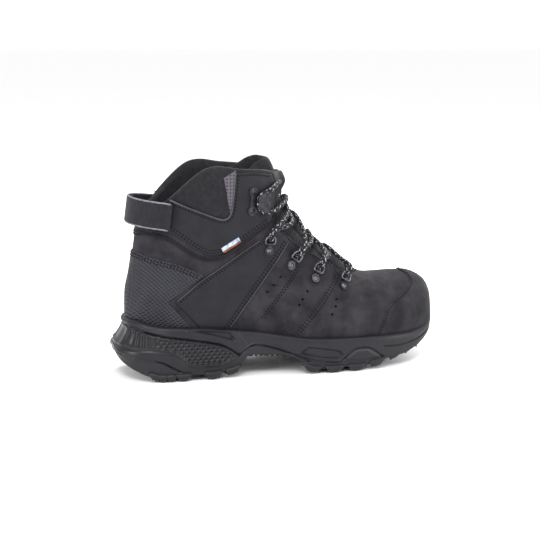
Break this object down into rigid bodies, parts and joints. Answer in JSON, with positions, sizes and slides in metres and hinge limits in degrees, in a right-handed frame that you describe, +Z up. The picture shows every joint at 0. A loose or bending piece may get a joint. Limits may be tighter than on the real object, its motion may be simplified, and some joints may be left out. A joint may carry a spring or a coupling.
{
  "type": "steel toe work boot",
  "caption": "Right ankle-height lace-up safety work boot with steel toe cap, lugged rubber outsole, D-ring lacing, padded collar and heel pull loop.",
  "frame": {"origin": "on the ground below the centre of the bounding box", "axes": "+X towards the toe, +Y towards the inner (medial) side of this right boot, +Z up"},
  "size_m": [0.3078, 0.1081, 0.1896],
  "materials": {
    "outsole_rubber": "matte",
    "midsole_foam": "satin",
    "badge_rubber": "satin",
    "steel": "plain",
    "board": "matte",
    "footbed_fabric": "matte",
    "lining_fabric": "matte",
    "nubuck": "matte nubuck",
    "smooth_leather": "satin",
    "heel_leather": "embossed",
    "foam": "soft",
    "collar_fabric": "soft matte",
    "webbing": "woven",
    "tag_fabric": "woven",
    "gunmetal": "gunmetal",
    "rivet_metal": "dark nickel",
    "lace_cord": "round braided, flecked",
    "aglet_plastic": "clear black"
  },
  "bodies": {
    "root": {"aglets": "aglet_plastic", "bracket_lateral_1": "gunmetal", "bracket_lateral_2": "gunmetal", "bracket_lateral_3": "gunmetal", "bracket_lateral_4": "gunmetal", "bracket_medial_1": "gunmetal", "bracket_medial_2": "gunmetal", "bracket_medial_3": "gunmetal", "bracket_medial_4": "gunmetal", "collar_fabric_lateral": "collar_fabric", "collar_fabric_medial": "collar_fabric", "collar_overlay_lateral": "smooth_leather", "collar_overlay_medial": "smooth_leather", "collar_padding_lateral": "foam", "collar_padding_medial": "foam", "eyelet_rivets": "rivet_metal", "footbed": "footbed_fabric", "heel_counter": "board", "heel_overlay": "heel_leather", "heel_pod": "midsole_foam", "heel_strip": "heel_leather", "hook_rivets": "rivet_metal", "insole_board": "board", "lace": "lace_cord", "lace_hook_lateral": "gunmetal", "lace_hook_medial": "gunmetal", "loop_tab_lateral": "webbing", "loop_tab_medial": "webbing", "midsole": "midsole_foam", "outsole": "outsole_rubber", "puncture_plate": "steel", "quarter_lateral": "nubuck", "quarter_lining_lateral": "lining_fabric", "quarter_lining_medial": "lining_fabric", "quarter_medial": "nubuck", "shank": "steel", "side_panel_lateral": "smooth_leather", "side_panel_medial": "smooth_leather", "sole_badge_lateral": "badge_rubber", "sole_badge_medial": "badge_rubber", "steel_toe_cap": "steel", "toe_cap_trim": "outsole_rubber", "toe_overlay": "smooth_leather", "tongue": "collar_fabric", "vamp": "nubuck", "vamp_lining": "lining_fabric", "woven_tag": "tag_fabric"},
    "ring_lateral_1": {"d_ring_lateral_1": "gunmetal"},
    "ring_lateral_2": {"d_ring_lateral_2": "gunmetal"},
    "ring_lateral_3": {"d_ring_lateral_3": "gunmetal"},
    "ring_lateral_4": {"d_ring_lateral_4": "gunmetal"},
    "ring_medial_1": {"d_ring_medial_1": "gunmetal"},
    "ring_medial_2": {"d_ring_medial_2": "gunmetal"},
    "ring_medial_3": {"d_ring_medial_3": "gunmetal"},
    "ring_medial_4": {"d_ring_medial_4": "gunmetal"},
    "pull_loop": {"pull_loop": "webbing"}
  },
  "joints": [
    {"name": "ring_lateral_1_pivot", "type": "hinge", "parent": "root", "child": "ring_lateral_1", "pos_m": [-0.01838, -0.04202, 0.12], "axis": [0.9959, -0.0039, -0.0903], "range_deg": [-3, 3]},
    {"name": "ring_lateral_2_pivot", "type": "hinge", "parent": "root", "child": "ring_lateral_2", "pos_m": [0.00543, -0.0408, 0.1045], "axis": [0.7866, 0.0721, -0.6132], "range_deg": [-3, 3]},
    {"name": "ring_lateral_3_pivot", "type": "hinge", "parent": "root", "child": "ring_lateral_3", "pos_m": [0.02783, -0.03879, 0.0919], "axis": [0.8741, 0.0004, -0.4858], "range_deg": [-3, 3]},
    {"name": "ring_lateral_4_pivot", "type": "hinge", "parent": "root", "child": "ring_lateral_4", "pos_m": [0.05574, -0.03468, 0.0822], "axis": [0.8609, 0.1135, -0.496], "range_deg": [-3, 3]},
    {"name": "ring_medial_1_pivot", "type": "hinge", "parent": "root", "child": "ring_medial_1", "pos_m": [-0.01823, 0.04076, 0.11998], "axis": [-0.9949, 0.0415, 0.0923], "range_deg": [-3, 3]},
    {"name": "ring_medial_2_pivot", "type": "hinge", "parent": "root", "child": "ring_medial_2", "pos_m": [0.00545, 0.03854, 0.10435], "axis": [-0.7806, 0.1073, 0.6157], "range_deg": [-3, 3]},
    {"name": "ring_medial_3_pivot", "type": "hinge", "parent": "root", "child": "ring_medial_3", "pos_m": [0.02773, 0.03619, 0.09179], "axis": [-0.8763, -0.0105, 0.4817], "range_deg": [-3, 3]},
    {"name": "ring_medial_4_pivot", "type": "hinge", "parent": "root", "child": "ring_medial_4", "pos_m": [0.05558, 0.03366, 0.08219], "axis": [-0.8794, 0.0835, 0.4687], "range_deg": [-3, 3]},
    {"name": "pull_loop_swing", "type": "hinge", "parent": "root", "child": "pull_loop", "pos_m": [-0.109, 0, 0.144], "axis": [0, 1, 0], "range_deg": [-12, 12], "stiffness_Nm_per_rad": 0.02}
  ]
}
